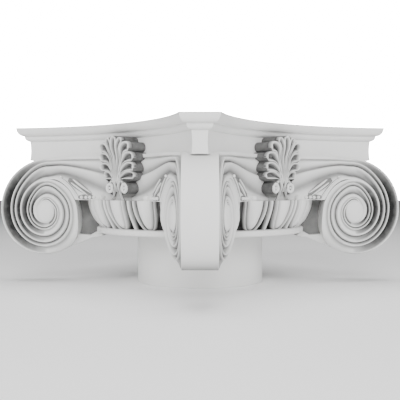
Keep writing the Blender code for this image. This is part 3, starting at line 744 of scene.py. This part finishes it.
class CAPITAL_OT_leaves(bpy.types.Operator):
    """Carves the leaf ornament in the middle of each side"""

    bl_idname = "capital.leaves"
    bl_label = "Leaves"

    steps: IntProperty(name="Steps", default=26, min=6, description="Steps along a lobe")

    def crest(self, plan, spot):
        """Relief of the ridges: high in the middle, lower at the side lobes, and out again at the top."""
        sizes = plan.sizes
        up = spot.y / sizes.leaf_height
        edge = 0.82 - 0.30 * smooth_step((up - 0.27) / 0.05) + 0.28 * smooth_step((up - 0.375) / 0.13)
        lean = (sizes.leaf_lean + sizes.leaf_relief * 0.1) * smooth_step((up - 0.62) / 0.22)
        across = min(abs(spot.x) * 2 / sizes.leaf_width, 1)
        middle = 0.80 + 0.22 * smooth_step(up / 0.4)
        return sizes.leaf_relief * (middle + (edge - middle) * across**1.5) + lean

    def lobe(self, bm, plan, path, half, depth):
        """One fluted lobe along a curve of four points, across and up, to its cupped end."""
        # Places across the lobe in half widths, and how far below the crest it is there, in depths
        section = [(-1.0, 1.4), (-1.0, 0.50), (-0.96, 0.16), (-0.86, 0.0), (-0.72, 0.04), (-0.60, 0.35),
                   (-0.46, 0.80), (0.0, 1.0), (0.46, 0.80), (0.60, 0.35), (0.72, 0.04), (0.86, 0.0),
                   (0.96, 0.16), (1.0, 0.50), (1.0, 1.4)]
        start, first, second, tip = path

        def place(step, line):
            share = step / self.steps
            rest = 1 - share
            here = start * rest**3 + first * 3 * rest**2 * share + second * 3 * rest * share**2
            here += tip * share**3
            ahead = (first - start) * rest**2 + (second - first) * 2 * rest * share
            ahead += (tip - second) * share**2
            ahead.normalize()
            aside = Vector((ahead.y, -ahead.x))
            swell = 0.30 + 0.70 * smooth_step((share - 0.30) / 0.45)
            close = math.sqrt(max(1 - max((share - 0.84) / 0.16, 0)**2, 0.0))
            across, drop = section[line]
            lip = smooth_step((share - 0.90) / 0.05)
            if abs(across) < 0.7:
                drop *= 1 - lip
            spot = here + aside * across * half * swell * close
            relief = self.crest(plan, spot) - depth * (0.45 + 0.55 * smooth_step(share)) * drop
            # Painted shade in the flutes and hollows, by how far below the crest they lie
            return plan.face_point(spot.x, plan.egg_line + spot.y, relief), max(0.0, min(drop * 1.05, 1.0))

        warped_grid(bm, self.steps, len(section) - 1, place)

    def scroll(self, bm, plan, centre, radius, relief):
        """A small scroll: a ring laid on the face with a button in it."""
        before = set(bm.verts)
        tube = bmesh.ops.create_circle(bm, segments=12, radius=radius * 0.30)
        for vert in tube["verts"]:
            vert.co = Vector((radius * 0.70 + vert.co.x, 0, vert.co.y))
        edges = list({edge for vert in tube["verts"] for edge in vert.link_edges})
        bmesh.ops.spin(bm, geom=tube["verts"] + edges, axis=(0, 0, 1), cent=(0, 0, 0), steps=28,
                       angle=math.tau, use_merge=True)
        bmesh.ops.create_uvsphere(bm, u_segments=12, v_segments=8, radius=radius * 0.26)
        for vert in bm.verts:
            if vert not in before:
                spot = vert.co.xy + centre
                vert.co = plan.face_point(spot.x, plan.egg_line + spot.y, relief + vert.co.z)

    def backing(self, bm, plan):
        """The body of the leaf behind its lobes, with a rounded wall behind the end of each."""
        sizes = plan.sizes
        wide, high = sizes.leaf_width / 2, sizes.leaf_height
        half = [Vector((0.36 * wide, -0.0006)), Vector((0.22 * wide, 0.05 * high))]
        lobes = [(0.68, 0.195, 0.090)] + LEAF_LOBES + [(0.50, 0.905, 0.055)]
        for tip, level, radius in lobes:
            centre = Vector((tip * wide - radius * high, level * high))
            for angle in (-75, -50, -25, 0, 25, 50, 75):
                turn = math.radians(angle)
                half.append(centre + Vector((math.cos(turn), math.sin(turn))) * radius * high)
        for angle in (15, 45, 70):
            turn = math.radians(angle)
            half.append(Vector((0.32 * wide * math.cos(turn), high * (0.90 + 0.085 * math.sin(turn)))))
        ring = half + [Vector((0, 0.985 * high))] + [Vector((-p.x, p.y)) for p in reversed(half)]
        loops = []
        for shrink, drop in ((1.0, None), (1.0, 0.0035), (0.985, 0.0015), (0.96, 0.0012), (0.90, 0.005)):
            loop = []
            for p in ring:
                relief = -0.010 if drop is None else self.crest(plan, p) - drop
                loop.append(plan.face_point(p.x * shrink, plan.egg_line + p.y, relief))
            loops.append(loop)
        before = set(bm.verts)
        loop_stack(bm, loops)
        # Painted shade on the leaf's side walls, lighter at its foot
        depth = bm.verts.layers.float["cavity"]
        for vert in bm.verts:
            if vert not in before:
                vert[depth] = 0.88 if vert.co.z > plan.egg_line + 0.07 * high else 0.4

    def execute(self, context):
        plan = layout_of(context)
        sizes = plan.sizes
        wide, high = sizes.leaf_width / 2, sizes.leaf_height
        bm = bmesh.new()
        bm.verts.layers.float.new("cavity")
        self.backing(bm, plan)

        def lobe(path, side, half, depth):
            self.lobe(bm, plan, [Vector((side * wide * x, high * y)) for x, y in path], half * high, depth)

        for side in (-1, 1):
            for order, (tip, level, radius) in enumerate(LEAF_LOBES):
                lobe([(0.08 + 0.03 * order, 0.285), (0.16 + 0.06 * order, level - 0.07),
                      (0.54 * tip, level + 0.065), (tip, level - 0.008)], side, radius, FLUTE)
            lobe([(0.05, 0.30), (0.10, 0.60), (0.22, 0.92), (0.50, 0.925)], side, 0.055, FLUTE)
            lobe([(0.40, -0.01), (0.16, 0.07), (0.06, 0.24), (0.40, 0.285)], side, 0.045, FLUTE * 0.7)
            centre = Vector((side * wide * 0.46, high * 0.190))
            self.scroll(bm, plan, centre, high * 0.084, sizes.leaf_relief * 0.80)
        lobe([(0.0, 0.13), (0.0, 0.18), (0.0, 0.24), (0.0, 0.30)], 1, 0.050, FLUTE * 0.6)
        lobe([(0.0, 0.26), (0.0, 0.55), (0.0, 0.80), (0.0, 0.985)], 1, 0.075, FLUTE)
        round_about(bm, 4)
        finish_piece(context, "leaf_ornaments", bm, sharp=50)
        return {"FINISHED"}


class CAPITAL_OT_husks(bpy.types.Operator):
    """Carves the husks that lie along the lower edge of the bands, beside the volutes"""

    bl_idname = "capital.husks"
    bl_label = "Husks"

    steps: IntProperty(name="Steps", default=16, min=6, description="Steps along a husk")

    def husk(self, bm, plan, root, bend, tip, half, flat=1.0, shade_paint=0.0):
        """A long pod laid on the band along a curve of three points."""
        def place(step, line):
            share = step / self.steps
            here = root.lerp(bend, share).lerp(bend.lerp(tip, share), share)
            ahead = ((bend - root) * (1 - share) + (tip - bend) * share).normalized()
            aside = Vector((ahead.y, -ahead.x))
            swell = max(math.sin(math.pi * (0.10 + 0.90 * share)), 0.0)**0.6 if share < 1 else 0.0
            turn = math.pi * (line / 10 - 0.5)
            spot = here + aside * half * swell * math.sin(turn)
            height = half * (0.9 + 1.5 * swell) * max(math.cos(turn), 0)**0.6 * flat
            # Painted shade on the sides of a pod, and over the whole of a bed
            return plan.face_point(spot.x, spot.y, height - 0.0005), max(0.8 - math.cos(turn), shade_paint)

        warped_grid(bm, self.steps, 10, place)

    def ball(self, bm, plan, place, radius):
        """A small ball sunk into the band."""
        before = set(bm.verts)
        bmesh.ops.create_uvsphere(bm, u_segments=14, v_segments=9, radius=radius)
        for vert in bm.verts:
            if vert not in before:
                vert.co = plan.face_point(place.x + vert.co.x, place.y + vert.co.y, 0.001 + vert.co.z)

    def execute(self, context):
        plan = layout_of(context)
        bm = bmesh.new()
        bm.verts.layers.float.new("cavity")

        def on_band(place):
            return Vector((plan.eye_run * place[0], plan.egg_line + plan.band_height * place[1]))

        for root, bend, tip, half in HUSK_PATHS:
            self.husk(bm, plan, on_band(root), on_band(bend), on_band(tip), half)
        for root, bend, tip, half in HUSK_BEDS:
            self.husk(bm, plan, on_band(root), on_band(bend), on_band(tip), half, BED_FLAT, BED_SHADE_PAINT)
        for place, radius in HUSK_BALLS:
            self.ball(bm, plan, on_band(place), radius)
        geom = list(bm.verts) + list(bm.edges) + list(bm.faces)
        bmesh.ops.mirror(bm, geom=geom, axis="Y", merge_dist=0.0)
        round_about(bm, 4)
        finish_piece(context, "husks", bm, sharp=60)
        return {"FINISHED"}


def area_light(context, name, place, aim, size, energy):
    """A soft rectangular light at a place, turned towards its aim."""
    light = bpy.data.lights.new(name, "AREA")
    light.shape = "RECTANGLE"
    light.size, light.size_y = size
    light.energy = energy
    lamp = bpy.data.objects.new(name, light)
    lamp.location = place
    lamp.rotation_euler = (Vector(aim) - Vector(place)).to_track_quat("-Z", "Y").to_euler()
    context.scene.collection.objects.link(lamp)


class CAPITAL_OT_stage(bpy.types.Operator):
    """Lays the pale floor and sets the lights and the camera"""

    bl_idname = "capital.stage"
    bl_label = "Stage"

    def floor(self, context):
        """A large flat floor at the level of the underside."""
        bm = bmesh.new()
        bmesh.ops.create_grid(bm, x_segments=1, y_segments=1, size=6)
        mesh = bpy.data.meshes.new("floor")
        bm.to_mesh(mesh)
        bm.free()
        material = bpy.data.materials.new("pale_floor")
        material.use_nodes = True
        shader = material.node_tree.nodes["Principled BSDF"]
        shader.inputs["Base Color"].default_value = context.scene.capital_finish.floor_colour
        shader.inputs["Roughness"].default_value = 0.9
        mesh.materials.append(material)
        floor = bpy.data.objects.new("floor", mesh)
        context.scene.collection.objects.link(floor)

    def execute(self, context):
        stage = context.scene.capital_stage
        self.floor(context)
        middle = (0, 0, capital_high.z / 2)
        ahead = Vector((1, -1, 0)).normalized()
        for name, angle, distance, height, size, setting in LIGHTS:
            way = Matrix.Rotation(math.radians(angle), 3, "Z") @ ahead
            spot = way * distance + Vector((0, 0, height))
            area_light(context, name, spot, middle, size, getattr(stage, setting))

        world = bpy.data.worlds.new("soft_sky")
        world.use_nodes = True
        tree = world.node_tree
        sky = tree.nodes["Background"]
        sky.inputs["Color"].default_value = (1, 1, 1, 1)
        sky.inputs["Strength"].default_value = stage.world_strength
        backdrop = tree.nodes.new("ShaderNodeBackground")
        backdrop.inputs["Color"].default_value = (1, 1, 1, 1)
        backdrop.inputs["Strength"].default_value = stage.backdrop_strength
        seen = tree.nodes.new("ShaderNodeLightPath")
        mix = tree.nodes.new("ShaderNodeMixShader")
        tree.links.new(seen.outputs["Is Camera Ray"], mix.inputs["Fac"])
        tree.links.new(sky.outputs["Background"], mix.inputs[1])
        tree.links.new(backdrop.outputs["Background"], mix.inputs[2])
        tree.links.new(mix.outputs["Shader"], tree.nodes["World Output"].inputs["Surface"])
        context.scene.world = world

        data = bpy.data.cameras.new("camera")
        data.lens = stage.lens
        data.sensor_width = 36
        data.shift_y = stage.camera_shift
        camera = bpy.data.objects.new("camera", data)
        spot = stage.camera_distance / math.sqrt(2)
        camera.location = (spot, -spot, stage.camera_height)
        camera.rotation_euler = (math.pi / 2, 0, math.pi / 4)
        context.scene.collection.objects.link(camera)
        context.scene.camera = camera
        return {"FINISHED"}


class CAPITAL_PT_sidebar(bpy.types.Panel):
    """Sizes, finish and the steps that build the capital"""

    bl_idname = "CAPITAL_PT_sidebar"
    bl_label = "Ionic capital"
    bl_space_type = "VIEW_3D"
    bl_region_type = "UI"
    bl_category = "Capital"

    def draw(self, context):
        scene = context.scene
        for group in (scene.capital_sizes, scene.capital_finish, scene.capital_stage):
            box = self.layout.box()
            for name in group.bl_rna.properties.keys():
                if name not in {"rna_type", "name"}:
                    box.prop(group, name)
        for step in STEPS:
            self.layout.operator(step.bl_idname)


STEPS = (CAPITAL_OT_abacus, CAPITAL_OT_bell, CAPITAL_OT_egg_ring, CAPITAL_OT_corners, CAPITAL_OT_webs,
         CAPITAL_OT_leaves, CAPITAL_OT_husks, CAPITAL_OT_stage)
CLASSES = (CapitalSizes, FinishSettings, StageSettings) + STEPS + (CAPITAL_PT_sidebar,)


def register():
    for kind in CLASSES:
        bpy.utils.register_class(kind)
    bpy.types.Scene.capital_sizes = PointerProperty(type=CapitalSizes)
    bpy.types.Scene.capital_finish = PointerProperty(type=FinishSettings)
    bpy.types.Scene.capital_stage = PointerProperty(type=StageSettings)


def unregister():
    del bpy.types.Scene.capital_stage
    del bpy.types.Scene.capital_finish
    del bpy.types.Scene.capital_sizes
    for kind in reversed(CLASSES):
        bpy.utils.unregister_class(kind)


def main():
    register()
    for step in STEPS:
        group, name = step.bl_idname.split(".")
        getattr(getattr(bpy.ops, group), name)()


if __name__ == "__main__":
    main()
